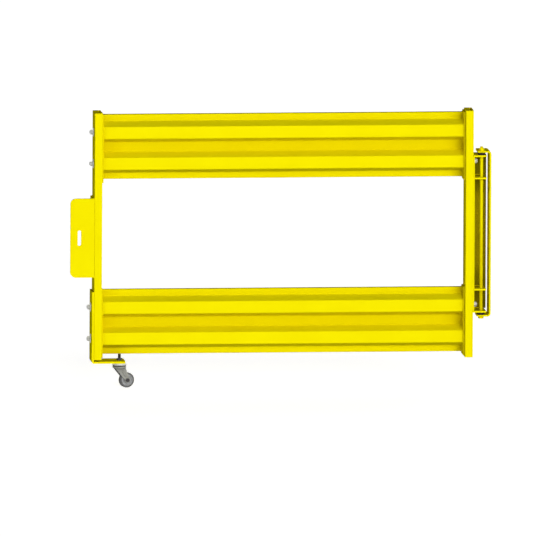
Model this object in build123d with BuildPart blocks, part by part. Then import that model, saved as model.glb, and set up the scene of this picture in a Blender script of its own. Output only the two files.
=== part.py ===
"""Safety swing gate for a guard rail, in millimetres.

A steel leaf of two ribbed rails between two flat tube posts swings on a long pin in a C bracket.
The bracket's flat back bolts to a fixed post, which isn't part of the gate, and a swivel caster
carries the far end. X runs along the closed leaf, with the latch at -X. The leaf opens towards -Y.
Z is up, and the origin is the middle of the bracket's flat back.
"""

import os
from math import cos, radians, sin, tan

from build123d import *

# Leaf
leaf_length = 1500
hinge_reach = 70.5
post_height = 980
post_width = 31
post_depth = 102
post_wall = 3
post_edge_radius = 3
cap_thickness = 3
cap_gap = 9

# Ribbed rails
rail_from_post_end = 14.5
rail_sheet = 3.5
rail_flange = 25
rib_width = 47.5
rib_side_height = 18
valley_width = 39
rib_depth = 55
rail_bend_radius = 5
rail_lip_from_back = 1
rail_front_setback = 21

# Rail end plates and their bolts
end_plate_thickness = 6
end_plate_front_margin = 3
end_plate_overhang = 8
rail_bolt_spacing = 125
rail_bolt_hole = 14

# Hinge bracket and pin
bracket_steel = 7
bracket_depth = 90
bracket_leg_reach = 54
bracket_bend_radius = 6
mount_hole = 14
mount_spacing_across = 50
mount_from_bracket_end = 79
pin_diameter = 12.7
pin_from_back = 38
pin_from_front = 16
pin_hex = 19
pin_head_height = 8
pin_nut_height = 11
pin_thread_end = 6
thread_chamfer = 1.2
pin_clearance = 0.4
hex_chamfer_angle = 30
hex_face_share = 0.94
running_clearance = 0.3

# Hinge channel and lugs on the leaf
channel_flange = 5
channel_web = 5
channel_front_setback = 2
lug_gap = 9.5
lug_end_from_back = 19
web_end_from_back = 12.5
channel_past_bolt = 20.5
inner_lug_from_end = 84.5
thrust_washer_diameter = 30

# Latch angle
angle_steel = 8
angle_bend_radius = 3
latch_reach = 95
latch_height = 314
latch_drop = 5
latch_corner_radius = 22
latch_side_depth = 96
slot_width = 13.5
slot_length = 62
slot_from_edge = 36

# Caster bracket
caster_leg_past_bolt = 65
caster_shelf_gap = 6.5
caster_shelf_reach = 126
caster_bracket_bend_radius = 9
shelf_corner_radius = 10
stem_from_post = 106

# Caster
wheel_diameter = 60
wheel_width = 19
tread_thickness = 7.5
hub_bore = 12
axle_diameter = 8
sleeve_overhang = 1.5
hub_rim = 4
hub_boss_diameter = 22
hub_dish = 4
tread_edge_radius = 2.5
axle_head_height = 5
axle_hex = 13
post_above_floor = 116.5
stem_diameter = 12.7
stem_nut_height = 8
stem_thread_end = 16
head_diameter = 56
head_height = 14
race_diameter = 42
race_height = 2.6
race_gap = 0.4
crown_diameter = 54
crown_dish = 5
crown_edge_radius = 4
fork_sheet = 2.5
fork_side_clearance = 2
fork_leg_top_width = 43
fork_leg_end_radius = 11
caster_trail = 30
caster_turn = 16

# Places worked out from the sizes above
post_front = -post_depth / 2
hinge_post_x = -hinge_reach - post_width / 2
latch_post_x = -hinge_reach - leaf_length + post_width / 2
latch_outer_x = -hinge_reach - leaf_length
rail_start_x = -hinge_reach - post_width - end_plate_thickness
rail_length = leaf_length - 2 * (post_width + end_plate_thickness)
rail_height = 2 * rail_flange + 4 * rib_side_height + 2 * rib_width + valley_width
rail_level = post_height / 2 - rail_from_post_end - rail_height / 2
rail_levels = {"upper": rail_level, "lower": -rail_level}
rib_front_y = post_front + rail_front_setback
end_plate_front_y = rib_front_y - end_plate_front_margin
end_plate_back_y = post_depth / 2
bolt_levels = [
    level + side * rail_bolt_spacing / 2 for level in rail_levels.values() for side in (1, -1)
]
pin_x = -pin_from_back
pin_y = post_front + pin_from_front
inner_bolt_level = rail_level - rail_bolt_spacing / 2
channel_height = 2 * (inner_bolt_level + channel_past_bolt)
lug_outer_z = channel_height / 2 + bracket_steel
leg_inner_z = lug_outer_z + lug_gap
bracket_height = 2 * (leg_inner_z + bracket_steel)
channel_front_y = post_front + channel_front_setback
channel_back_y = bracket_depth / 2
caster_leg_top = -inner_bolt_level + caster_leg_past_bolt
shelf_top_z = -post_height / 2 - caster_shelf_gap
shelf_bottom_z = shelf_top_z - angle_steel
stem_x = latch_outer_x + stem_from_post
floor_z = -post_height / 2 - post_above_floor
axle_z = floor_z + wheel_diameter / 2
trail_direction = Vector(cos(radians(caster_turn)), sin(radians(caster_turn)), 0)
axle_direction = Vector(sin(radians(caster_turn)), -cos(radians(caster_turn)), 0)
axle_centre = Vector(stem_x, 0, axle_z) + trail_direction * caster_trail

up = Vector(0, 0, 1)

os.makedirs("parts", exist_ok=True)


def save(piece, name):
    """Label a finished piece and write it under the same name."""
    piece.label = name
    export_step(piece, f"parts/{name}.step")


def upright_plane(y):
    """A drawing plane that faces the front, with its X along the gate and its Y up."""
    return Plane.XZ.offset(-y)


def across_plane(x, z=0):
    """A plane that faces along the gate, with its X towards the back and its Y up."""
    return Plane(origin=(x, 0, z), x_dir=(0, 1, 0), z_dir=(1, 0, 0))


def chamfer_hexagon(centre, outward, across_flats):
    """Turn a chamfer on a hexagon's end face, which has that centre and looks that way."""
    radial = Plane(origin=centre, z_dir=outward).x_dir
    face_radius = across_flats / 2 * hex_face_share
    reach = across_flats
    drop = (reach - face_radius) * tan(radians(hex_chamfer_angle))
    with BuildSketch(Plane(origin=centre, x_dir=radial, z_dir=radial.cross(outward))) as corner:
        with BuildLine():
            Polyline((face_radius, 0), (reach, 0), (reach, -drop), close=True)
        make_face()
    revolve(corner.sketch, axis=Axis(centre, outward), mode=Mode.SUBTRACT)


# Posts: flat rectangular tubes, each with a cap that stops short of the tube's right wall
for name, centre_x in (("latch_post", latch_post_x), ("hinge_post", hinge_post_x)):
    with BuildPart() as post:
        with BuildSketch(Plane.XY.offset(-post_height / 2)):
            with Locations((centre_x, 0)):
                RectangleRounded(post_width, post_depth, post_edge_radius)
                Rectangle(post_width - 2 * post_wall, post_depth - 2 * post_wall, mode=Mode.SUBTRACT)
        extrude(amount=post_height)
        for level in bolt_levels:
            with BuildSketch(across_plane(centre_x, level)):
                Circle(rail_bolt_hole / 2)
            extrude(amount=post_width, both=True, mode=Mode.SUBTRACT)
    save(post.part, name)

    with BuildPart() as cap:
        with BuildSketch(Plane.XY.offset(post_height / 2 - cap_thickness)):
            with Locations((centre_x - cap_gap / 2, 0)):
                Rectangle(post_width - 2 * post_wall - cap_gap, post_depth - 2 * post_wall)
        extrude(amount=cap_thickness)
    save(cap.part, name + "_cap")


# Ribbed rails: one bent sheet each, with two ribs that stand forward of its flanges and a lip along
# each edge that turns back to the posts' back faces
def rail_outline():
    """Corner points of the sheet's outer face about the rail's middle, from the end of its top lip down."""
    rib_y = rib_front_y
    flange_y = rib_front_y + rib_depth
    steps = [
        (rail_flange, flange_y),
        (rib_side_height, rib_y),
        (rib_width, rib_y),
        (rib_side_height, flange_y),
        (valley_width, flange_y),
        (rib_side_height, rib_y),
        (rib_width, rib_y),
        (rib_side_height, flange_y),
        (rail_flange, flange_y),
    ]
    height = rail_height / 2
    lip_y = post_depth / 2 - rail_lip_from_back
    points = [(lip_y, height), (flange_y, height)]
    for drop, y in steps:
        height -= drop
        points.append((y, height))
    return points + [(lip_y, height)]


for name, level in rail_levels.items():
    with BuildPart() as rail:
        with BuildSketch(across_plane(rail_start_x, level)):
            with BuildLine():
                FilletPolyline(*rail_outline(), radius=rail_bend_radius)
                offset(amount=rail_sheet, side=Side.LEFT)
            make_face()
        extrude(amount=-rail_length)
    save(rail.part, name + "_rail")

    for side, plate_x in (
        ("latch", rail_start_x - rail_length - end_plate_thickness),
        ("hinge", rail_start_x),
    ):
        with BuildPart() as end_plate:
            with BuildSketch(across_plane(plate_x, level)):
                with Locations(((end_plate_front_y + end_plate_back_y) / 2, 0)):
                    Rectangle(end_plate_back_y - end_plate_front_y, rail_height + 2 * end_plate_overhang)
                with Locations((0, rail_bolt_spacing / 2), (0, -rail_bolt_spacing / 2)):
                    Circle(rail_bolt_hole / 2, mode=Mode.SUBTRACT)
            extrude(amount=end_plate_thickness)
        save(end_plate.part, f"{name}_rail_{side}_plate")

# Hinge bracket: a C bent from flat bar, with its back to the fixed post
with BuildPart() as hinge_bracket:
    with BuildSketch(upright_plane(bracket_depth / 2)) as bracket_outline:
        with Locations((-bracket_leg_reach / 2, 0)):
            Rectangle(bracket_leg_reach, bracket_height)
        with Locations((-(bracket_leg_reach + bracket_steel) / 2, 0)):
            Rectangle(bracket_leg_reach - bracket_steel, 2 * leg_inner_z, mode=Mode.SUBTRACT)
        corners = bracket_outline.vertices().group_by(Axis.X)
        fillet(corners[-1], bracket_bend_radius + bracket_steel)
        inner_corners = bracket_outline.vertices().filter_by_position(
            Axis.X, -bracket_steel - 0.1, -bracket_steel + 0.1
        )
        fillet(inner_corners, bracket_bend_radius)
    extrude(amount=bracket_depth)
    with BuildSketch(across_plane(-bracket_steel)):
        with GridLocations(mount_spacing_across, bracket_height - 2 * mount_from_bracket_end, 2, 2):
            Circle(mount_hole / 2)
    extrude(amount=bracket_steel, mode=Mode.SUBTRACT)
    with BuildSketch(Plane.XY):
        with Locations((pin_x, pin_y)):
            Circle(pin_diameter / 2 + running_clearance)
    extrude(amount=bracket_height / 2, both=True, mode=Mode.SUBTRACT)
save(hinge_bracket.part, "hinge_bracket")

# Hinge pin: a long bolt with its head below and its nut on top
with BuildPart() as hinge_pin:
    with BuildSketch(Plane.XY.offset(-bracket_height / 2)):
        with Locations((pin_x, pin_y)):
            Circle(pin_diameter / 2)
    extrude(amount=bracket_height + pin_nut_height + pin_thread_end)
    with BuildSketch(Plane.XY.offset(-bracket_height / 2 - pin_head_height)):
        with Locations((pin_x, pin_y)):
            RegularPolygon(pin_hex / 2, 6, major_radius=False)
    extrude(amount=pin_head_height)
    chamfer_hexagon(Vector(pin_x, pin_y, -bracket_height / 2 - pin_head_height), -up, pin_hex)
    chamfer(hinge_pin.edges().filter_by(GeomType.CIRCLE).group_by(Axis.Z)[-1], thread_chamfer)
save(hinge_pin.part, "hinge_pin")

with BuildPart() as pin_nut:
    with BuildSketch(Plane.XY.offset(bracket_height / 2)):
        with Locations((pin_x, pin_y)):
            RegularPolygon(pin_hex / 2, 6, major_radius=False)
            Circle(pin_diameter / 2, mode=Mode.SUBTRACT)
    extrude(amount=pin_nut_height)
    chamfer_hexagon(Vector(pin_x, pin_y, bracket_height / 2 + pin_nut_height), up, pin_hex)
save(pin_nut.part, "hinge_pin_nut")

# Thrust washers: one carries the leaf on the bracket's lower leg, one keeps it from lifting
washer_thickness = lug_gap - running_clearance
for name, washer_z in (
    ("lower_thrust_washer", -leg_inner_z),
    ("upper_thrust_washer", leg_inner_z - washer_thickness),
):
    with BuildPart() as thrust_washer:
        with BuildSketch(Plane.XY.offset(washer_z)):
            with Locations((pin_x, pin_y)):
                Circle(thrust_washer_diameter / 2)
                Circle(pin_diameter / 2, mode=Mode.SUBTRACT)
        extrude(amount=washer_thickness)
    save(thrust_washer.part, name)

# Hinge channel: an angle whose flange lies on the hinge post and whose web closes the back
channel_left_x = -hinge_reach
with BuildPart() as hinge_channel:
    with BuildSketch(Plane.XY.offset(-channel_height / 2)):
        with Locations((channel_left_x, channel_front_y)):
            Rectangle(channel_flange, channel_back_y - channel_front_y, align=Align.MIN)
        with Locations((channel_left_x, channel_back_y - channel_web)):
            Rectangle(hinge_reach - web_end_from_back, channel_web, align=Align.MIN)
    extrude(amount=channel_height)
    for level in bolt_levels:
        if abs(level) < channel_height / 2:
            with BuildSketch(across_plane(channel_left_x, level)):
                Circle(rail_bolt_hole / 2)
            extrude(amount=channel_flange, mode=Mode.SUBTRACT)
save(hinge_channel.part, "hinge_channel")

# Hinge lugs: two close the channel's ends and two stand inside it, all bored for the pin
inner_lug_z = channel_height / 2 - inner_lug_from_end
outer_lug_size = (hinge_reach - lug_end_from_back, channel_back_y - post_front)
inner_lug_size = (outer_lug_size[0] - channel_flange, outer_lug_size[1] - channel_web)
for name, lug_z, lug_left_x, lug_size in (
    ("top_lug", lug_outer_z - bracket_steel, channel_left_x, outer_lug_size),
    ("upper_lug", inner_lug_z - bracket_steel / 2, channel_left_x + channel_flange, inner_lug_size),
    ("lower_lug", -inner_lug_z - bracket_steel / 2, channel_left_x + channel_flange, inner_lug_size),
    ("bottom_lug", -lug_outer_z, channel_left_x, outer_lug_size),
):
    with BuildPart() as lug:
        with BuildSketch(Plane.XY.offset(lug_z)):
            with Locations((lug_left_x, post_front)):
                Rectangle(*lug_size, align=Align.MIN)
            with Locations((pin_x, pin_y)):
                Circle(pin_diameter / 2 + pin_clearance, mode=Mode.SUBTRACT)
        extrude(amount=bracket_steel)
    save(lug.part, name)

# Latch angle: its front leg laps the fixed latch post and stops the leaf, its side leg is welded on
with BuildPart() as latch_angle:
    with BuildSketch(Plane.XY.offset(-latch_drop - latch_height / 2)) as angle_outline:
        with Locations((latch_outer_x, post_front)):
            Rectangle(latch_reach, angle_steel, align=(Align.MAX, Align.MIN))
            Rectangle(angle_steel, latch_side_depth, align=(Align.MAX, Align.MIN))
        inner_corner = angle_outline.vertices().sort_by_distance(
            (latch_outer_x - angle_steel, post_front + angle_steel)
        )[0]
        fillet(inner_corner, angle_bend_radius)
    extrude(amount=latch_height)
    free_corners = latch_angle.edges().filter_by(Axis.Y).group_by(Axis.X)[0]
    fillet(free_corners, latch_corner_radius)
    with BuildSketch(upright_plane(post_front + angle_steel)):
        with Locations((latch_outer_x - latch_reach + slot_from_edge, -latch_drop)):
            SlotOverall(slot_length, slot_width, rotation=90)
    extrude(amount=angle_steel, mode=Mode.SUBTRACT)
save(latch_angle.part, "latch_angle")

# Caster bracket: an L whose tall leg is bolted to the latch post and whose shelf holds the caster
caster_leg_outer_x = latch_outer_x - angle_steel
with BuildPart() as caster_bracket:
    with BuildSketch(upright_plane(post_depth / 2)) as l_outline:
        with Locations((caster_leg_outer_x, shelf_bottom_z)):
            Rectangle(angle_steel, caster_leg_top - shelf_bottom_z, align=Align.MIN)
            Rectangle(angle_steel + caster_shelf_reach, angle_steel, align=Align.MIN)
        outer_bend = l_outline.vertices().sort_by_distance((caster_leg_outer_x, shelf_bottom_z))[0]
        inner_bend = l_outline.vertices().sort_by_distance((latch_outer_x, shelf_top_z))[0]
        fillet(outer_bend, caster_bracket_bend_radius)
        fillet(inner_bend, caster_bracket_bend_radius - angle_steel)
    extrude(amount=post_depth)
    for level in bolt_levels:
        if shelf_top_z < level < caster_leg_top:
            with BuildSketch(across_plane(caster_leg_outer_x, level)):
                Circle(rail_bolt_hole / 2)
            extrude(amount=angle_steel, mode=Mode.SUBTRACT)
    with BuildSketch(Plane.XY.offset(shelf_bottom_z)):
        with Locations((stem_x, 0)):
            Circle(stem_diameter / 2 + running_clearance)
    extrude(amount=angle_steel, mode=Mode.SUBTRACT)
    shelf_corners = caster_bracket.edges().filter_by(Axis.Z).group_by(Axis.X)[-1]
    fillet(shelf_corners, shelf_corner_radius)
save(caster_bracket.part, "caster_bracket")

# Caster head: a cup over a smaller bearing race, with the stem that passes up through the shelf
head_bottom_z = shelf_bottom_z - head_height
with BuildPart() as caster_head:
    with BuildSketch(Plane.XY.offset(head_bottom_z + race_height)):
        with Locations((stem_x, 0)):
            Circle(head_diameter / 2)
    extrude(amount=head_height - race_height)
    fillet(caster_head.edges().group_by(Axis.Z)[-1], head_height / 3)
    with BuildSketch(Plane.XY.offset(head_bottom_z)):
        with Locations((stem_x, 0)):
            Circle(race_diameter / 2)
    extrude(amount=race_height)
    with BuildSketch(Plane.XY.offset(shelf_bottom_z)):
        with Locations((stem_x, 0)):
            Circle(stem_diameter / 2)
    extrude(amount=angle_steel + stem_nut_height + stem_thread_end)
    chamfer(caster_head.edges().filter_by(GeomType.CIRCLE).group_by(Axis.Z)[-1], thread_chamfer)
save(caster_head.part, "caster_head")

with BuildPart() as stem_nut:
    with BuildSketch(Plane.XY.offset(shelf_top_z)):
        with Locations((stem_x, 0)):
            RegularPolygon(pin_hex / 2, 6, major_radius=False)
            Circle(stem_diameter / 2, mode=Mode.SUBTRACT)
    extrude(amount=stem_nut_height)
    chamfer_hexagon(Vector(stem_x, 0, shelf_top_z + stem_nut_height), up, pin_hex)
save(stem_nut.part, "caster_stem_nut")

# Caster fork: a round crown and two side plates that taper down to the axle
fork_gap = wheel_width + 2 * fork_side_clearance
crown_top_z = head_bottom_z - race_gap
crown_bottom_z = crown_top_z - crown_dish - fork_sheet
fork_side_height = crown_bottom_z - axle_z
fork_frame = Plane(origin=(stem_x, 0, axle_z), x_dir=trail_direction, z_dir=axle_direction)
with BuildPart() as caster_fork:
    with BuildSketch(Plane.XY.offset(crown_bottom_z)):
        with Locations((stem_x, 0)):
            Circle(crown_diameter / 2)
    extrude(amount=crown_top_z - crown_bottom_z)
    fillet(caster_fork.edges().group_by(Axis.Z)[-1], crown_edge_radius)
    for side in (1, -1):
        with BuildSketch(fork_frame.offset(side * (fork_gap + fork_sheet) / 2)):
            with BuildLine():
                top_left = (-fork_leg_top_width / 2, fork_side_height)
                top_right = (fork_leg_top_width / 2, fork_side_height)
                low_left = (caster_trail - fork_leg_end_radius, 0)
                low_right = (caster_trail + fork_leg_end_radius, 0)
                Polyline(low_left, top_left, top_right, low_right)
                ThreePointArc(low_left, (caster_trail, -fork_leg_end_radius), low_right)
            make_face()
            with Locations((caster_trail, 0)):
                Circle(axle_diameter / 2, mode=Mode.SUBTRACT)
        extrude(amount=fork_sheet / 2, both=True)
save(caster_fork.part, "caster_fork")

# Wheel: a rubber tread on a hub with a steel sleeve, turning on the axle bolt
axle_frame = Plane(origin=axle_centre, x_dir=trail_direction, z_dir=axle_direction)
core_diameter = wheel_diameter - 2 * tread_thickness
with BuildPart() as caster_tread:
    with BuildSketch(axle_frame):
        Circle(wheel_diameter / 2)
        Circle(core_diameter / 2, mode=Mode.SUBTRACT)
    extrude(amount=wheel_width / 2, both=True)
    fillet(caster_tread.edges().filter_by(GeomType.CIRCLE).group_by(SortBy.RADIUS)[-1], tread_edge_radius)
save(caster_tread.part, "caster_tread")

with BuildPart() as caster_hub:
    with BuildSketch(axle_frame):
        Circle(core_diameter / 2)
        Circle(hub_bore / 2, mode=Mode.SUBTRACT)
    extrude(amount=wheel_width / 2, both=True)
    for side in (1, -1):
        with BuildSketch(axle_frame.offset(side * (wheel_width / 2 - hub_dish))):
            Circle(core_diameter / 2 - hub_rim)
            Circle(hub_boss_diameter / 2, mode=Mode.SUBTRACT)
        extrude(amount=side * hub_dish, mode=Mode.SUBTRACT)
save(caster_hub.part, "caster_hub")

with BuildPart() as hub_sleeve:
    with BuildSketch(axle_frame):
        Circle(hub_bore / 2)
        Circle(axle_diameter / 2 + running_clearance, mode=Mode.SUBTRACT)
    extrude(amount=wheel_width / 2 + sleeve_overhang, both=True)
save(hub_sleeve.part, "caster_hub_sleeve")

with BuildPart() as caster_axle:
    with BuildSketch(axle_frame):
        Circle(axle_diameter / 2)
    extrude(amount=fork_gap / 2 + fork_sheet, both=True)
    for side in (1, -1):
        with BuildSketch(axle_frame.offset(side * (fork_gap / 2 + fork_sheet))):
            RegularPolygon(axle_hex / 2, 6, major_radius=False)
        extrude(amount=side * axle_head_height)
        outward = axle_direction * side
        head_face = axle_centre + outward * (fork_gap / 2 + fork_sheet + axle_head_height)
        chamfer_hexagon(head_face, outward, axle_hex)
save(caster_axle.part, "caster_axle")
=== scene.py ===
from math import cos, pi, radians, sin

import bmesh
import bpy
from mathutils import Matrix, Vector


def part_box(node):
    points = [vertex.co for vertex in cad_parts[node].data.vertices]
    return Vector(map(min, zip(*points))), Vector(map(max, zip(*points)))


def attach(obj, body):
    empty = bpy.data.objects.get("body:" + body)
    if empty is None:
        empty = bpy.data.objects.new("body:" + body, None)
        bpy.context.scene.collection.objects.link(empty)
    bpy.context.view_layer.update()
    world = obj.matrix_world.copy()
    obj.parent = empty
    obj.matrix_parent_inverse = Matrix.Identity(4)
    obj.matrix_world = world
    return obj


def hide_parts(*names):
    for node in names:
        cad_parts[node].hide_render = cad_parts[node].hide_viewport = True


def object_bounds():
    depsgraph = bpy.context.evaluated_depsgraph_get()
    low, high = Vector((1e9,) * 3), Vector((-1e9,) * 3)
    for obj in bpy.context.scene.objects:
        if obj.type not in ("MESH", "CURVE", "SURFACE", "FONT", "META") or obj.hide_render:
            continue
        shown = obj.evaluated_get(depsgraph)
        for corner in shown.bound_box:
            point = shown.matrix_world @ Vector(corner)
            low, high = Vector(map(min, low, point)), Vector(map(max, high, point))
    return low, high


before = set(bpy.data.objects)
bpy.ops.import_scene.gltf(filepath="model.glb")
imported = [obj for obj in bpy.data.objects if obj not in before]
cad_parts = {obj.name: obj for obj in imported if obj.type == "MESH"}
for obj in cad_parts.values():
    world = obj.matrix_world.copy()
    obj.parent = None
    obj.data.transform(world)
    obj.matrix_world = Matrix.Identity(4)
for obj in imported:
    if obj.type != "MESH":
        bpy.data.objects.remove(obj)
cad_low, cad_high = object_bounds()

# Posts
# Two flat steel tubes, sawn to length and drilled through for the rail bolts, each with a plate
# welded into its top. The whole leaf is powder coated in one semi-gloss safety yellow.
mm = 0.001


def linear(red, green, blue):
    """A colour for a shader, from the one that a screen shows, written from 0 to 255."""
    parts = [part / 255 for part in (red, green, blue)]
    return [part / 12.92 if part <= 0.04045 else ((part + 0.055) / 1.055) ** 2.4 for part in parts] + [1.0]


def add_node(tree, kind, inputs=None, **settings):
    """A shader node with its settings, and each input given a value or joined to another node."""
    node = tree.nodes.new(kind)
    for setting, value in settings.items():
        setattr(node, setting, value)
    for socket, value in (inputs or {}).items():
        if isinstance(value, bpy.types.NodeSocket):
            tree.links.new(value, node.inputs[socket])
        else:
            node.inputs[socket].default_value = value
    return node


def new_group(name, inputs, outputs):
    """An empty shader group with named sockets, and its input and output nodes."""
    group = bpy.data.node_groups.new(name, "ShaderNodeTree")
    for socket, kind in inputs.items():
        group.interface.new_socket(socket, in_out="INPUT", socket_type=kind)
    for socket, kind in outputs.items():
        group.interface.new_socket(socket, in_out="OUTPUT", socket_type=kind)
    return group, group.nodes.new("NodeGroupInput").outputs, group.nodes.new("NodeGroupOutput").inputs


def edge_wear_and_shade_group():
    """Rounds edges by a radius in the normals, and masks each edge in patches, for thin and rubbed finishes
    and for painted edge shade.
    """
    group, given, result = new_group(
        "edge_wear_and_shade",
        {"Radius": "NodeSocketFloat", "Breakup Scale": "NodeSocketFloat"},
        {"Normal": "NodeSocketVector", "Edge": "NodeSocketFloat"},
    )
    rounded = add_node(group, "ShaderNodeBevel", {"Radius": given["Radius"]}, samples=6)
    true_normal = add_node(group, "ShaderNodeNewGeometry").outputs["True Normal"]
    agreement = add_node(
        group,
        "ShaderNodeVectorMath",
        {0: rounded.outputs["Normal"], 1: true_normal},
        operation="DOT_PRODUCT",
    ).outputs["Value"]
    edge = add_node(
        group, "ShaderNodeMapRange", {"Value": agreement, "From Min": 0.995, "From Max": 0.8}
    ).outputs["Result"]
    place = add_node(group, "ShaderNodeTexCoord").outputs["Object"]
    breakup = add_node(
        group, "ShaderNodeTexNoise", {"Vector": place, "Scale": given["Breakup Scale"], "Detail": 4.0}
    ).outputs["Fac"]
    patches = add_node(group, "ShaderNodeMapRange", {"Value": breakup, "From Min": 0.38, "From Max": 0.66})
    edge_mask = add_node(group, "ShaderNodeMath", {0: edge, 1: patches.outputs["Result"]}, operation="MULTIPLY")
    group.links.new(rounded.outputs["Normal"], result["Normal"])
    group.links.new(edge_mask.outputs["Value"], result["Edge"])
    return group


def skin_grain_group():
    """Fine bumps of a given size with slow patches over them, as on a coat, a casting or a moulding."""
    group, given, result = new_group(
        "skin_grain",
        {
            "Bumps per Metre": "NodeSocketFloat",
            "Patches per Metre": "NodeSocketFloat",
            "Stretch": "NodeSocketVector",
        },
        {"Height": "NodeSocketFloat", "Patches": "NodeSocketFloat"},
    )
    place = add_node(group, "ShaderNodeTexCoord").outputs["Object"]
    stretched = add_node(
        group, "ShaderNodeVectorMath", {0: place, 1: given["Stretch"]}, operation="MULTIPLY"
    ).outputs["Vector"]
    bumps = add_node(
        group,
        "ShaderNodeTexNoise",
        {"Vector": stretched, "Scale": given["Bumps per Metre"], "Detail": 2.0},
    )
    patches = add_node(
        group,
        "ShaderNodeTexNoise",
        {"Vector": stretched, "Scale": given["Patches per Metre"], "Detail": 5.0},
    )
    group.links.new(bumps.outputs["Fac"], result["Height"])
    group.links.new(patches.outputs["Fac"], result["Patches"])
    return group


def dust_and_top_shade_group():
    """A mask of uneven patches on surfaces whose normals rise by at least a given share: settled dust on
    zinc and painted shade on the coat's level tops.
    """
    group, given, result = new_group(
        "dust_and_top_shade",
        {"Patches per Metre": "NodeSocketFloat", "Least Rise": "NodeSocketFloat"},
        {"Dust and Top Shade": "NodeSocketFloat"},
    )
    normal = add_node(group, "ShaderNodeNewGeometry").outputs["Normal"]
    height = add_node(group, "ShaderNodeSeparateXYZ", {"Vector": normal}).outputs["Z"]
    facing_up = add_node(
        group, "ShaderNodeMapRange", {"Value": height, "From Min": given["Least Rise"], "From Max": 1.0}
    )
    place = add_node(group, "ShaderNodeTexCoord").outputs["Object"]
    patches = add_node(
        group, "ShaderNodeTexNoise", {"Vector": place, "Scale": given["Patches per Metre"], "Detail": 6.0}
    )
    dust = add_node(
        group,
        "ShaderNodeMath",
        {0: facing_up.outputs["Result"], 1: patches.outputs["Fac"]},
        operation="MULTIPLY",
    )
    group.links.new(dust.outputs["Value"], result["Dust and Top Shade"])
    return group


def recess_group():
    """A mask of the front and back faces that lie deep between others, within a given reach, where the
    finishes paint shade.
    """
    group, given, result = new_group("recess", {"Reach": "NodeSocketFloat"}, {"Recess": "NodeSocketFloat"})
    openness = add_node(group, "ShaderNodeAmbientOcclusion", {"Distance": given["Reach"]}, samples=8)
    depth = add_node(
        group, "ShaderNodeMapRange", {"Value": openness.outputs["AO"], "From Min": 1.0, "From Max": 0.35}
    )
    normal = add_node(group, "ShaderNodeTexCoord").outputs["Normal"]
    facing = add_node(group, "ShaderNodeSeparateXYZ", {"Vector": normal}).outputs["Y"]
    flat = add_node(group, "ShaderNodeMath", {0: facing}, operation="ABSOLUTE").outputs["Value"]
    sunk = add_node(group, "ShaderNodeMath", {0: depth.outputs["Result"], 1: flat}, operation="MULTIPLY")
    group.links.new(sunk.outputs["Value"], result["Recess"])
    return group


edge_wear_and_shade = edge_wear_and_shade_group()
skin_grain = skin_grain_group()
dust_and_top_shade = dust_and_top_shade_group()
recess = recess_group()


def effect(tree, group, inputs):
    """One use of a shared effect in a material, with that material's own values."""
    node = tree.nodes.new("ShaderNodeGroup")
    node.node_tree = group
    for socket, value in inputs.items():
        node.inputs[socket].default_value = value
    return node.outputs


def blend_colours(tree, share, first, second):
    """The first colour where the share is 0 and the second where it is 1."""
    mix = add_node(tree, "ShaderNodeMix", data_type="RGBA")
    for socket, value in (("Factor_Float", share), ("A_Color", first), ("B_Color", second)):
        target = next(entry for entry in mix.inputs if entry.identifier == socket)
        if isinstance(value, bpy.types.NodeSocket):
            tree.links.new(value, target)
        else:
            target.default_value = value
    return next(entry for entry in mix.outputs if entry.identifier == "Result_Color")


def scaled(tree, value, low, high):
    """A mask from 0 to 1 turned into a value from low to high."""
    spread = add_node(tree, "ShaderNodeMapRange", {"Value": value, "To Min": low, "To Max": high})
    return spread.outputs["Result"]


def new_material(name, **constants):
    """A material with an unlinked surface shader that has those constants, ready for its own nodes."""
    material = bpy.data.materials.new(name)
    material.use_nodes = True
    shader = material.node_tree.nodes["Principled BSDF"]
    for socket, value in constants.items():
        shader.inputs[socket.replace("_", " ")].default_value = value
    return material, material.node_tree, shader


def edges_and_grain(tree, edge, grain, stretch=(1.0, 1.0, 1.0)):
    """A finish's edge mask for wear and painted edge shade, by its radius and breakup, and its skin, by
    bumps and patches per metre.
    """
    edges = effect(tree, edge_wear_and_shade, {"Radius": edge[0], "Breakup Scale": edge[1]})
    skin = {"Bumps per Metre": grain[0], "Patches per Metre": grain[1], "Stretch": stretch}
    return edges, effect(tree, skin_grain, skin)


def finish_surface(tree, shader, colour, edges, grain, bump, roughness):
    """Joins a finish to its shader: its colour, bumps of a strength and height, and patchy roughness."""
    bumps = add_node(
        tree,
        "ShaderNodeBump",
        {"Strength": bump[0], "Distance": bump[1], "Height": grain["Height"], "Normal": edges["Normal"]},
    )
    tree.links.new(colour, shader.inputs["Base Color"])
    tree.links.new(scaled(tree, grain["Patches"], *roughness), shader.inputs["Roughness"])
    tree.links.new(bumps.outputs["Normal"], shader.inputs["Normal"])


bright_yellow = linear(243, 230, 3)
full_yellow = linear(240, 225, 2)
recess_shade_yellow = linear(196, 176, 0)
edge_yellow = linear(214, 182, 4)
edge_shade_yellow = linear(150, 140, 26)
deepest_shade_yellow = linear(84, 78, 4)
top_shade_yellow = linear(104, 98, 8)


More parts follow.
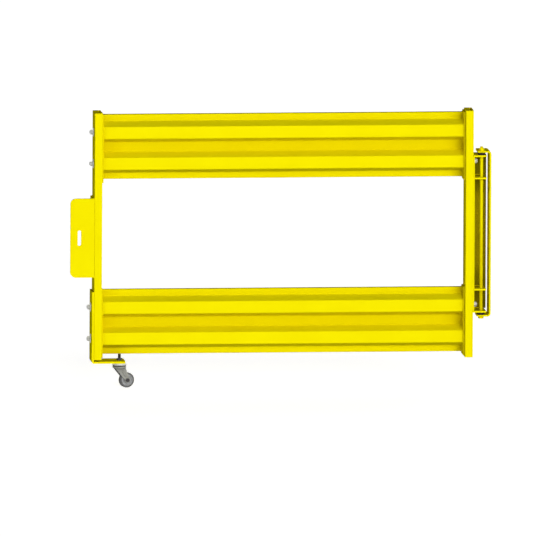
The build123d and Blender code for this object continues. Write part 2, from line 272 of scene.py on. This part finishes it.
def yellow_coat(name, recess_shade=0.0, edge_reach=0.9 * mm, edge_share=0.55, edge_colour=edge_yellow):
    """Powder coat with its orange-peel skin, tinted at its edges in a given colour. It is darkened with
    painted shade in recesses, more in the deepest by the share recess_shade, and on level tops.
    """
    material, tree, shader = new_material(name, Specular_IOR_Level=0.0)
    edges, grain = edges_and_grain(tree, edge=(edge_reach, 60.0), grain=(420.0, 7.0))
    patches = scaled(tree, grain["Patches"], -0.6, 1.6)
    colour = blend_colours(tree, patches, bright_yellow, full_yellow)
    # Painted shade: front and back faces deep in recesses are darkened towards a dull yellow.
    depth = effect(tree, recess, {"Reach": 90 * mm})["Recess"]
    colour = blend_colours(tree, scaled(tree, depth, 0.0, 0.95), colour, recess_shade_yellow)
    # Painted shade: the deepest recesses are darkened further towards a dark olive, by the share
    # recess_shade.
    deepest_shade = add_node(
        tree, "ShaderNodeMapRange", {"Value": depth, "From Min": 0.76, "From Max": 1.0, "To Max": recess_shade}
    )
    colour = blend_colours(tree, deepest_shade.outputs["Result"], colour, deepest_shade_yellow)
    # Edges take the edge colour: a thin coat on most copies, painted shade on the bracket's.
    colour = blend_colours(tree, scaled(tree, edges["Edge"], 0.0, edge_share), colour, edge_colour)
    # Painted shade: level tops are darkened in patches to a dark olive.
    top_shade = effect(tree, dust_and_top_shade, {"Patches per Metre": 22.0, "Least Rise": 0.965})
    colour = blend_colours(tree, scaled(tree, top_shade["Dust and Top Shade"], 0.0, 1.15), colour, top_shade_yellow)
    finish_surface(tree, shader, colour, edges, grain, bump=(0.16, 0.15 * mm), roughness=(0.36, 0.54))
    return material


def finish_nodes(material, *names):
    """Gives CAD nodes their finish."""
    for name in names:
        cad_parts[name].material_slots[0].material = material


coat = yellow_coat("yellow_coat")
# A copy of the coat with strong painted shade in its deepest recesses, for the hinge channel and its lugs.
recess_shaded_coat = yellow_coat("recess_shaded_coat", recess_shade=0.85)
# A copy of the coat with painted shade in a wide dark olive band along every edge, for the hinge bracket.
edge_shaded_coat = yellow_coat("edge_shaded_coat", edge_reach=3 * mm, edge_share=0.9, edge_colour=edge_shade_yellow)
finish_nodes(coat, "latch_post", "latch_post_cap", "hinge_post", "hinge_post_cap")


def new_piece(name, mesh, material, body, smooth_below=35):
    """A finished piece: its mesh is in place, its object sits at the origin and rides on its body."""
    bmesh.ops.recalc_face_normals(mesh, faces=mesh.faces)
    for face in mesh.faces:
        face.smooth = True
    data = bpy.data.meshes.new(name)
    mesh.to_mesh(data)
    mesh.free()
    data.set_sharp_from_angle(angle=radians(smooth_below))
    data.materials.append(material)
    piece = bpy.data.objects.new(name, data)
    bpy.context.scene.collection.objects.link(piece)
    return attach(piece, body)


# Ribbed rails
# Each is one sheet with two pressed ribs, welded at both ends to a flat plate that bolts to its post.
# The bead runs down the sheet's face, over both ribs, and shows its ripples through the coat.
rails = ("upper_rail", "lower_rail")
finish_nodes(coat, *rails)
finish_nodes(coat, *[f"{rail}_{side}_plate" for rail in rails for side in ("latch", "hinge")])
flange_height = 25 * mm
slope_height = 18 * mm
rib_face = 47.5 * mm
valley = 39 * mm
rib_steps = ((slope_height, 1), (rib_face, 1), (slope_height, 0))
rail_steps = ((flange_height, 0), *rib_steps, (valley, 0), *rib_steps, (flange_height, 0))
rib_depth = 55 * mm
bead_sides = 8
bead_ripple = 3 * mm
bead_dip = 0.84


def weld_bead(mesh, route, across, radius):
    """Adds a weld bead along straight runs in one plane. Its rings dip at each ripple."""
    stations = []
    for start, end in zip(route, route[1:]):
        run = end - start
        count = max(2, round(run.length / bead_ripple) * 2)
        tangent = run.normalized()
        stations += [(start + run * (step / count), tangent, step % 2) for step in range(count)]
    stations.append((route[-1], tangent, 0))
    places = []
    for point, tangent, dip in stations:
        side = tangent.cross(across)
        turn = Matrix((across, side, tangent)).transposed().to_4x4()
        places.append(Matrix.Translation(point) @ turn @ Matrix.Scale(bead_dip if dip else 1.0, 4))
    ring = bmesh.ops.create_circle(
        mesh, cap_ends=True, segments=bead_sides, radius=radius, matrix=places[0]
    )
    edges = list({edge for vert in ring["verts"] for edge in vert.link_edges})
    for before, after in zip(places, places[1:]):
        grown = bmesh.ops.extrude_edge_only(mesh, edges=edges)["geom"]
        verts = [part for part in grown if isinstance(part, bmesh.types.BMVert)]
        edges = [
            part
            for part in grown
            if isinstance(part, bmesh.types.BMEdge) and all(vert in verts for vert in part.verts)
        ]
        bmesh.ops.transform(mesh, matrix=after @ before.inverted(), verts=verts)
    bmesh.ops.contextual_create(mesh, geom=edges)


along = Vector((1, 0, 0))
back = Vector((0, 1, 0))
up = Vector((0, 0, 1))
rail_bead = 3 * mm

for rail in rails:
    rail_low, rail_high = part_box(rail)
    height = rail_high.z
    face_levels = (rail_low.y + rib_depth, rail_low.y)
    lip_end = rail_high.y - rail_bead
    corners = [(lip_end, height), (face_levels[0], height)]
    for drop, level in rail_steps:
        height -= drop
        corners.append((face_levels[level], height))
    corners.append((lip_end, height))
    for side, bead_x in (("latch", rail_low.x), ("hinge", rail_high.x)):
        mesh = bmesh.new()
        weld_bead(mesh, [Vector((bead_x, y, z)) for y, z in corners], along, rail_bead)
        new_piece(f"{rail}_{side}_weld", mesh, coat, "leaf", 180)

# Rail bolts
# Zinc plated half-inch bolts pass through an end plate and the whole post. The latch post's nuts are on
# its outer face and the hinge post's hold its channel, but two there have low domed heads instead.
bolt_radius = 6.35 * mm
bolt_hex = 19 * mm
bolt_head = 8 * mm
nut_height = 11 * mm
bolt_washer_radius = 17.5 * mm
bolt_washer = 2.5 * mm
thread_pitch = 1.95 * mm
thread_depth = 1.1 * mm
crest_play = 0.1 * mm
broken_share = 0.9
domed_head_radius = 15 * mm
domed_head = 3.5 * mm
domed_head_profile = ((0, 1), (0.45, 0.9), (0.8, 0.55), (1, 0.12), (1, 0))
chamfer_start = 0.47
chamfer_fall = 0.577
broken_edge = 0.15
round_steps = 36
same_point = 0.001 * mm
same_thread_point = 0.02 * mm


dust_grey = linear(120, 115, 105)
recess_shade_brown = linear(40, 36, 30)


def zinc_plate(name, colours, metallic, recess_shade):
    """Zinc over turned and pressed steel: stained in patches, rubbed at its edges, with dust on its tops and
    painted shade where sheltered, by the share recess_shade.
    """
    stained, clear, rubbed = (linear(*colour) for colour in colours)
    material, tree, shader = new_material(name, Metallic=metallic, Specular_IOR_Level=0.2)
    edges, grain = edges_and_grain(
        tree, edge=(0.5 * mm, 140.0), grain=(900.0, 60.0), stretch=(1.0, 1.0, 0.35)
    )
    colour = blend_colours(tree, grain["Patches"], stained, clear)
    colour = blend_colours(tree, edges["Edge"], colour, rubbed)
    dust = effect(tree, dust_and_top_shade, {"Patches per Metre": 90.0, "Least Rise": 0.35})
    colour = blend_colours(tree, scaled(tree, dust["Dust and Top Shade"], 0.0, 0.25), colour, dust_grey)
    # Painted shade: faces deep between others are darkened towards brown, by the share recess_shade.
    depth = effect(tree, recess, {"Reach": 26 * mm})["Recess"]
    colour = blend_colours(tree, scaled(tree, depth, 0.0, recess_shade), colour, recess_shade_brown)
    finish_surface(tree, shader, colour, edges, grain, bump=(0.12, 0.06 * mm), roughness=(0.36, 0.6))
    return material


# A lighter copy of the zinc plating, painted light to stand in for the highlights on the rail bolts and the
# caster head.
highlit_zinc = zinc_plate(
    "highlit_zinc", colours=((196, 197, 193), (222, 223, 220), (240, 240, 238)), metallic=0.4, recess_shade=0.0
)


def turned(outline, steps=round_steps):
    """A body turned about Z from its outline of radius and height."""
    mesh = bmesh.new()
    points = [mesh.verts.new((radius, 0, height)) for radius, height in outline]
    lines = [mesh.edges.new(pair) for pair in zip(points, points[1:])]
    bmesh.ops.spin(
        mesh,
        geom=points + lines,
        cent=(0, 0, 0),
        axis=(0, 0, 1),
        angle=2 * pi,
        steps=steps,
        use_merge=True,
    )
    bmesh.ops.remove_doubles(mesh, verts=mesh.verts, dist=same_point)
    return mesh


def trim(mesh, point, outward):
    """Cuts off what lies beyond a plane and closes the cut."""
    cut = bmesh.ops.bisect_plane(
        mesh,
        geom=mesh.verts[:] + mesh.edges[:] + mesh.faces[:],
        plane_co=point,
        plane_no=outward,
        clear_outer=True,
    )
    rim = [part for part in cut["geom_cut"] if isinstance(part, bmesh.types.BMEdge)]
    bmesh.ops.holes_fill(mesh, edges=rim, sides=0)


def cut_flats(mesh, across_flats):
    """Cuts six flats on a turned body, which leaves its chamfers as arcs over the corners."""
    for turn in range(6):
        outward = Vector((cos(turn * pi / 3), sin(turn * pi / 3), 0))
        trim(mesh, outward * across_flats / 2, outward)
    return mesh


def hex_blank(across_flats, bottom, top, bore=0.0, chamfers=(True, True)):
    """A bolt head, or a nut with its bore, from one height to another."""
    corner = across_flats / 2 / cos(pi / 6)
    face = across_flats * chamfer_start
    drop = (corner - face) * chamfer_fall
    outline = [(bore, bottom)]
    outline += [(face, bottom), (corner, bottom + drop)] if chamfers[0] else [(corner, bottom)]
    outline += [(corner, top - drop), (face, top)] if chamfers[1] else [(corner, top)]
    outline.append((bore, top))
    if bore:
        outline.append((bore, bottom))
    return cut_flats(turned(outline), across_flats)


def washer_disc(radius, bore, bottom, top):
    """A flat washer with its edges just broken."""
    broken = (top - bottom) * broken_edge
    return turned(
        [
            (bore, bottom),
            (radius - broken, bottom),
            (radius, bottom + broken),
            (radius, top - broken),
            (radius - broken, top),
            (bore, top),
            (bore, bottom),
        ]
    )


def thread_end(radius, bottom, top):
    """A real screw thread between two heights, with a broken end at the top."""
    mesh = bmesh.new()
    turns = int((top - bottom) / thread_pitch) + 3
    outline = []
    for turn in range(turns):
        start = bottom - thread_pitch * 1.5 + turn * thread_pitch
        outline += [(radius - thread_depth, start), (radius - crest_play, start + thread_pitch / 2)]
    points = [mesh.verts.new((out, 0, height)) for out, height in outline]
    lines = [mesh.edges.new(pair) for pair in zip(points, points[1:])]
    bmesh.ops.spin(
        mesh,
        geom=points + lines,
        cent=(0, 0, 0),
        axis=(0, 0, 1),
        dvec=(0, 0, thread_pitch / round_steps),
        angle=2 * pi,
        steps=round_steps,
    )
    bmesh.ops.remove_doubles(mesh, verts=mesh.verts, dist=same_thread_point)
    trim(mesh, up * bottom, -up)
    trim(mesh, up * top, up)
    for vert in mesh.verts:
        from_axis = Vector((vert.co.x, vert.co.y, 0))
        limit = radius - thread_depth * broken_share + (top - vert.co.z)
        if from_axis.length > limit:
            vert.co -= from_axis * (1 - limit / from_axis.length)
    return mesh


def joined(parts, place):
    """Several bodies as one mesh, taken to their place."""
    whole = bmesh.new()
    for part in parts:
        data = bpy.data.meshes.new("part")
        part.to_mesh(data)
        part.free()
        whole.from_mesh(data)
        bpy.data.meshes.remove(data)
    bmesh.ops.transform(whole, matrix=place, verts=whole.verts)
    return whole


def bolt_place(start_x, level, heading):
    """Where a rail bolt's bearing face is, with its shank along or against X."""
    return Matrix.Translation((start_x, 0, level)) @ Matrix.Rotation(heading * pi / 2, 4, "Y")


def rail_bolt(name, place, grip, tip, domed=False):
    """A bolt from its bearing face to its tip, with its washers, and with its nut past what it grips."""
    nut_base = grip + bolt_washer
    if domed:
        dome = [(domed_head_radius * out, -domed_head * rise) for out, rise in domed_head_profile]
        parts = [turned([*dome, (0, 0)])]
    else:
        parts = [
            hex_blank(bolt_hex, -bolt_head - bolt_washer, -bolt_washer, chamfers=(True, False)),
            washer_disc(bolt_washer_radius, bolt_radius, -bolt_washer, 0),
        ]
    parts += [
        turned([(0, -bolt_washer), (bolt_radius, -bolt_washer), (bolt_radius, nut_base), (0, nut_base)]),
        washer_disc(bolt_washer_radius, bolt_radius, grip, nut_base),
        hex_blank(bolt_hex, nut_base, nut_base + nut_height, bore=bolt_radius - thread_depth / 2),
        thread_end(bolt_radius, nut_base - bolt_washer / 2, tip),
    ]
    return new_piece(name, joined(parts, place), highlit_zinc, "leaf")


latch_plate_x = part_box("upper_rail")[0].x
hinge_plate_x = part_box("upper_rail")[1].x
latch_outer_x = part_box("latch_post")[0].x
hinge_outer_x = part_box("hinge_post")[1].x
caster_leg_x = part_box("caster_bracket")[0].x
channel_sheet = 5 * mm
channel_inner_x = hinge_outer_x + channel_sheet
latch_bolt_end = 17 * mm
hinge_bolt_end = 15.5 * mm
domed_bolt_end = 4 * mm
rail_middle = (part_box("upper_rail")[0].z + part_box("upper_rail")[1].z) / 2
bolt_from_middle = 62.5 * mm
bolt_levels = {
    "top": rail_middle + bolt_from_middle,
    "upper": rail_middle - bolt_from_middle,
    "lower": bolt_from_middle - rail_middle,
    "bottom": -rail_middle - bolt_from_middle,
}

for name, level in bolt_levels.items():
    far_face_x = latch_outer_x if level > 0 else caster_leg_x
    grip = latch_plate_x - far_face_x
    rail_bolt(f"latch_post_{name}_bolt", bolt_place(latch_plate_x, level, -1), grip, grip + latch_bolt_end)
    if name in ("upper", "lower"):
        grip = channel_inner_x - hinge_plate_x
        tip = grip + hinge_bolt_end
        rail_bolt(f"hinge_post_{name}_bolt", bolt_place(hinge_plate_x, level, 1), grip, tip)
    else:
        grip = hinge_outer_x - hinge_plate_x
        tip = grip + bolt_washer + nut_height + domed_bolt_end
        rail_bolt(f"hinge_post_{name}_bolt", bolt_place(hinge_outer_x, level, -1), grip, tip, domed=True)

# Hinge bracket and pin
# The C is bent from flat bar. A long bolt stands through both of its legs, with its nut on the top one,
# and black nylon washers carry the leaf on it. Bolt and bracket were coated with the rest.
# The bracket's front edges are painted dark olive, as shade.
finish_nodes(edge_shaded_coat, "hinge_bracket")
finish_nodes(coat, "hinge_pin_nut")
thread_in_nut = 3 * mm


def cut_copy(name, level):
    """A copy of a CAD node, merged, and cut off at a height."""
    mesh = bmesh.new()
    mesh.from_mesh(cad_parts[name].data)
    bmesh.ops.remove_doubles(mesh, verts=mesh.verts, dist=same_point)
    trim(mesh, up * level, up)
    return mesh


def box_middle(name):
    """The middle of a CAD node's box."""
    low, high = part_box(name)
    return (low + high) / 2


pin_nut_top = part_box("hinge_pin_nut")[1].z
pin_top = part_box("hinge_pin")[1].z
pin_axis = box_middle("hinge_pin_nut")
pin_thread = thread_end(bolt_radius, pin_nut_top - thread_in_nut, pin_top)
bmesh.ops.translate(pin_thread, vec=(pin_axis.x, pin_axis.y, 0), verts=pin_thread.verts)
pin_shank = cut_copy("hinge_pin", pin_nut_top - thread_in_nut / 2)
pin_whole = joined([pin_shank, pin_thread], Matrix())
pin = new_piece("hinge_pin_threaded", pin_whole, coat, "bracket")
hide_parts("hinge_pin")


def rubbed_finish(name, edge, grain, colours, bump, roughness, **constants):
    """A finish that changes slowly from one colour to another, and is rubbed to a third at its edges."""
    first, second, rubbed = (linear(*colour) for colour in colours)
    material, tree, shader = new_material(name, **constants)
    edges, skin = edges_and_grain(tree, edge, grain)
    colour = blend_colours(tree, skin["Patches"], first, second)
    colour = blend_colours(tree, edges["Edge"], colour, rubbed)
    finish_surface(tree, shader, colour, edges, skin, bump, roughness)
    return material


nylon = rubbed_finish(
    "black_nylon",
    edge=(0.5 * mm, 200.0),
    grain=(1500.0, 120.0),
    colours=((28, 23, 16), (44, 37, 27), (78, 78, 79)),
    bump=(0.2, 0.08 * mm),
    roughness=(0.42, 0.62),
    Specular_IOR_Level=0.12,
)
finish_nodes(nylon, "lower_thrust_washer", "upper_thrust_washer")

# Hinge channel and lugs
# An angle lies on the post's side and closes the back, and four bored plates are welded into it.
# Each inner lug has a bead along its two joined edges, and the end lugs have theirs inside.
lugs = ("top_lug", "upper_lug", "lower_lug", "bottom_lug")
# Their coat paints strong shade into the small cells between the lugs.
finish_nodes(recess_shaded_coat, "hinge_channel", *lugs)
lug_bead = 2.5 * mm
bead_from_front = 8 * mm
bead_from_right = 4 * mm
web_front_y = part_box("hinge_channel")[1].y - channel_sheet

for lug in lugs:
    lug_low, lug_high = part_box(lug)
    levels = {"top_lug": [lug_low.z], "bottom_lug": [lug_high.z]}.get(lug, [lug_low.z, lug_high.z])
    mesh = bmesh.new()
    for level in levels:
        front = Vector((channel_inner_x, lug_low.y + bead_from_front, level))
        corner = Vector((channel_inner_x, web_front_y, level))
        right = Vector((lug_high.x - bead_from_right, web_front_y, level))
        weld_bead(mesh, [front, corner], up, lug_bead)
        weld_bead(mesh, [corner, right], up, lug_bead)
    new_piece(f"{lug}_weld", mesh, coat, "leaf", 180)

# Latch angle
# Bent from plate with a slot for the drop pin. Its side leg is stitched to the post down the back edge
# and along both ends, and its front leg laps the fixed latch post.
finish_nodes(coat, "latch_angle")
angle_low, angle_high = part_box("latch_angle")
latch_bead = 3 * mm
stitch = 55 * mm
stitch_from_end = 12 * mm
end_stitch = 34 * mm
end_stitch_offset = 24 * mm
highest_stitch = angle_high.z - stitch_from_end - stitch / 2
lowest_stitch = angle_low.z + stitch_from_end + stitch / 2
mesh = bmesh.new()
for level in (lowest_stitch, 0, highest_stitch):
    start = Vector((latch_outer_x, angle_high.y, level - stitch / 2))
    weld_bead(mesh, [start, start + up * stitch], along, latch_bead)
for level in (angle_low.z, angle_high.z):
    for middle in (-end_stitch_offset, end_stitch_offset):
        start = Vector((latch_outer_x, middle - end_stitch / 2, level))
        weld_bead(mesh, [start, start + back * end_stitch], along, latch_bead)
new_piece("latch_angle_weld", mesh, coat, "leaf", 180)

# Caster bracket and head
# A bent plate is held to the post by the two lower bolts. The caster's oiled black stem is screwed
# through its shelf and a nut. The round zinc plated head below has a nylon seal round its bearing.
finish_nodes(coat, "caster_bracket")
oiled = rubbed_finish(
    "oiled_steel",
    edge=(0.4 * mm, 260.0),
    grain=(1400.0, 160.0),
    colours=((34, 33, 38), (62, 59, 60), (96, 94, 92)),
    bump=(0.15, 0.06 * mm),
    roughness=(0.34, 0.6),
    Metallic=0.6,
    Specular_IOR_Level=0.3,
)
finish_nodes(oiled, "caster_stem_nut")
stem_nut_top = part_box("caster_stem_nut")[1].z
stem_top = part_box("caster_head")[1].z
stem_axis = box_middle("caster_head")
stem_thread_start = stem_nut_top - thread_in_nut
head_cut = cut_copy("caster_head", stem_thread_start)
# The head takes the lighter zinc copy, painted light as a highlight.
head = new_piece("caster_head_plate", head_cut, highlit_zinc, "leaf")
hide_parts("caster_head")
stem_thread = thread_end(bolt_radius, stem_thread_start, stem_top)
bmesh.ops.translate(stem_thread, vec=(stem_axis.x, stem_axis.y, 0), verts=stem_thread.verts)
new_piece("caster_stem_thread", stem_thread, oiled, "leaf")

race_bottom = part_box("caster_head")[0].z
race_radius = 21 * mm
seal_radius = 27.4 * mm
seal_height = 2.4 * mm
seal_edge = 0.8 * mm
seal_steps = 64
seal = turned(
    [
        (race_radius, 0),
        (seal_radius - seal_edge, 0),
        (seal_radius, seal_edge),
        (seal_radius, seal_height - seal_edge),
        (seal_radius - seal_edge, seal_height),
        (race_radius, seal_height),
        (race_radius, 0),
    ],
    seal_steps,
)
bmesh.ops.translate(seal, vec=(stem_axis.x, stem_axis.y, race_bottom), verts=seal.verts)
new_piece("caster_bearing_seal", seal, nylon, "leaf")

# Caster fork and axle
# The fork is pressed from sheet, with a stiffening rib raised in each leg, and swivels under the head.
# The wheel's axle bolt passes through both legs behind the swivel's centre.
# The caster's plating takes full painted shade in its recesses, as on the inner faces of the fork's legs.
zinc = zinc_plate(
    "zinc_plate", colours=((128, 128, 122), (158, 158, 151), (196, 196, 190)), metallic=0.1, recess_shade=1.0
)
finish_nodes(zinc, "caster_fork", "caster_hub_sleeve")
finish_nodes(oiled, "caster_axle")
caster_turn = radians(16)
trail = Vector((cos(caster_turn), sin(caster_turn), 0))
axle_direction = Vector((sin(caster_turn), -cos(caster_turn), 0))
axle_centre = box_middle("caster_tread")
leg_outer_face = 14 * mm
rib_top = axle_centre - trail * 23 * mm + up * 40 * mm
rib_foot = axle_centre - trail * 6 * mm + up * 12 * mm
rib_half_width = 4 * mm
rib_rise = 2.4 * mm
rib_root = 0.5 * mm
rib_run = (rib_foot - rib_top).normalized()
ribs = []
for side in (1, -1):
    outward = axle_direction * side
    turn = Matrix((rib_run, outward.cross(rib_run), outward)).transposed().to_4x4()
    middle = (rib_top + rib_foot) / 2 + outward * leg_outer_face
    shape = Matrix.Diagonal(((rib_foot - rib_top).length / 2, rib_half_width, rib_rise, 1))
    leg_rib = bmesh.new()
    place = Matrix.Translation(middle) @ turn @ shape
    bmesh.ops.create_uvsphere(leg_rib, u_segments=40, v_segments=24, radius=1, matrix=place)
    trim(leg_rib, middle - outward * rib_root, -outward)
    ribs.append(leg_rib)
new_piece("caster_fork_ribs", joined(ribs, Matrix()), zinc, "swivel", 60)

# Wheel
# A grey rubber tread is moulded round a hub of lighter grey plastic, which turns on a steel sleeve.
# Six webs on each side stiffen the hub between its bore and its rim.
tread_grey = rubbed_finish(
    "grey_rubber",
    edge=(0.8 * mm, 150.0),
    grain=(1100.0, 70.0),
    colours=((74, 74, 75), (100, 100, 100), (128, 127, 124)),
    bump=(0.3, 0.12 * mm),
    roughness=(0.58, 0.82),
    Specular_IOR_Level=0.35,
)
hub_grey = rubbed_finish(
    "grey_plastic",
    edge=(0.6 * mm, 150.0),
    grain=(1300.0, 80.0),
    colours=((132, 133, 134), (150, 151, 152), (172, 172, 172)),
    bump=(0.15, 0.08 * mm),
    roughness=(0.35, 0.5),
    Specular_IOR_Level=0.45,
)
finish_nodes(tread_grey, "caster_tread")
finish_nodes(hub_grey, "caster_hub")
web_count = 6
web_inner = 10.4 * mm
web_outer = 19 * mm
web_thickness = 2.4 * mm
dish_floor = 5.3 * mm
web_face = 8.6 * mm
web_edge = 0.5 * mm
webs = []
for side in (1, -1):
    for web in range(web_count):
        spoke_turn = (web + 0.5) * 2 * pi / web_count
        spoke = trail * cos(spoke_turn) + up * sin(spoke_turn)
        outward = axle_direction * side
        turn = Matrix((spoke, outward.cross(spoke), outward)).transposed().to_4x4()
        middle = axle_centre + spoke * (web_inner + web_outer) / 2
        middle += outward * (dish_floor + web_face) / 2
        shape = Matrix.Diagonal((web_outer - web_inner, web_thickness, web_face - dish_floor, 1))
        plate = bmesh.new()
        bmesh.ops.create_cube(plate, size=1, matrix=Matrix.Translation(middle) @ turn @ shape)
        bmesh.ops.bevel(
            plate, geom=plate.edges[:], offset=web_edge, segments=2, profile=0.5, affect="EDGES", material=-1
        )
        webs.append(plate)
new_piece("caster_hub_webs", joined(webs, Matrix()), hub_grey, "wheel")

# Studio
# A wide pale floor that the wheel stands on, an even surround, one large soft light from near the
# camera, a weaker one from behind and a faint one from the left, for the other sides.
floor_half_size = 60.0
floor_tone = 0.6
floor_lift = 0.8
surround_light = 0.08


def seen_directly(tree):
    """1 for what the camera sees, straight or by gloss or glass, and 0 for light that falls on things."""
    path = add_node(tree, "ShaderNodeLightPath").outputs
    seen = add_node(
        tree, "ShaderNodeMath", {0: path["Is Camera Ray"], 1: path["Is Glossy Ray"]}, operation="MAXIMUM"
    )
    seen_through = {0: seen.outputs["Value"], 1: path["Is Transmission Ray"]}
    return add_node(tree, "ShaderNodeMath", seen_through, operation="MAXIMUM").outputs["Value"]


floor_material = bpy.data.materials.new("pale_floor")
floor_material.use_nodes = True
tree = floor_material.node_tree
tree.nodes.clear()
matt = add_node(tree, "ShaderNodeBsdfDiffuse", {"Color": (floor_tone, floor_tone, floor_tone, 1.0)})
lift = add_node(tree, "ShaderNodeEmission", {"Strength": scaled(tree, seen_directly(tree), 0.0, floor_lift)})
floor_sum = add_node(tree, "ShaderNodeAddShader", {0: matt.outputs["BSDF"], 1: lift.outputs["Emission"]})
add_node(tree, "ShaderNodeOutputMaterial", {"Surface": floor_sum.outputs["Shader"]})
mesh = bmesh.new()
floor_place = Matrix.Translation((0, 0, cad_low.z))
bmesh.ops.create_grid(mesh, x_segments=4, y_segments=4, size=floor_half_size, matrix=floor_place)
floor_data = bpy.data.meshes.new("floor")
mesh.to_mesh(floor_data)
mesh.free()
floor_data.materials.append(floor_material)
floor = bpy.data.objects.new("floor", floor_data)
bpy.context.scene.collection.objects.link(floor)

world = bpy.data.worlds.new("surround")
world.use_nodes = True
tree = world.node_tree
surround = tree.nodes["Background"]
surround.inputs["Color"].default_value = (1.0, 1.0, 1.0, 1.0)
tree.links.new(scaled(tree, seen_directly(tree), surround_light, 1.0), surround.inputs["Strength"])
bpy.context.scene.world = world


def direction_from(azimuth, elevation):
    """The direction from the gate to something seen at that angle round it."""
    turn = radians(azimuth)
    rise = radians(elevation)
    return Vector((sin(turn) * cos(rise), -cos(turn) * cos(rise), sin(rise)))


def soft_sun(name, azimuth, elevation, strength, spread):
    """A soft light from far away. A strength of 1 lights a surface that faces it to its own colour."""
    light = bpy.data.lights.new(name, "SUN")
    light.energy = strength * pi
    light.angle = radians(spread)
    lamp = bpy.data.objects.new(name, light)
    lamp.rotation_euler = direction_from(azimuth, elevation).to_track_quat("Z", "Y").to_euler()
    bpy.context.scene.collection.objects.link(lamp)


soft_sun("front_light", azimuth=12, elevation=3.5, strength=1.55, spread=46)
soft_sun("back_light", azimuth=160, elevation=6, strength=0.95, spread=44)
soft_sun("side_light", azimuth=-110, elevation=5, strength=0.14, spread=60)

# Camera
# It has no perspective, stands a little to the left of the gate and above it, and is turned by a
# quarter of a degree.
camera_azimuth = -5.4
camera_elevation = 7.5
camera_distance = 10.0
camera_roll = 0.28
view_width = 2.112
view_centre = Vector((-0.8779, 0, -0.1355))
camera_data = bpy.data.cameras.new("camera")
camera_data.type = "ORTHO"
camera_data.ortho_scale = view_width
camera = bpy.data.objects.new("camera", camera_data)
towards_camera = direction_from(camera_azimuth, camera_elevation)
camera.location = view_centre + towards_camera * camera_distance
camera_turn = towards_camera.to_track_quat("Z", "Y").to_matrix()
camera.rotation_euler = (camera_turn @ Matrix.Rotation(radians(camera_roll), 3, "Z")).to_euler()
bpy.context.scene.collection.objects.link(camera)
bpy.context.scene.camera = camera
bpy.context.scene.view_settings.view_transform = "Standard"
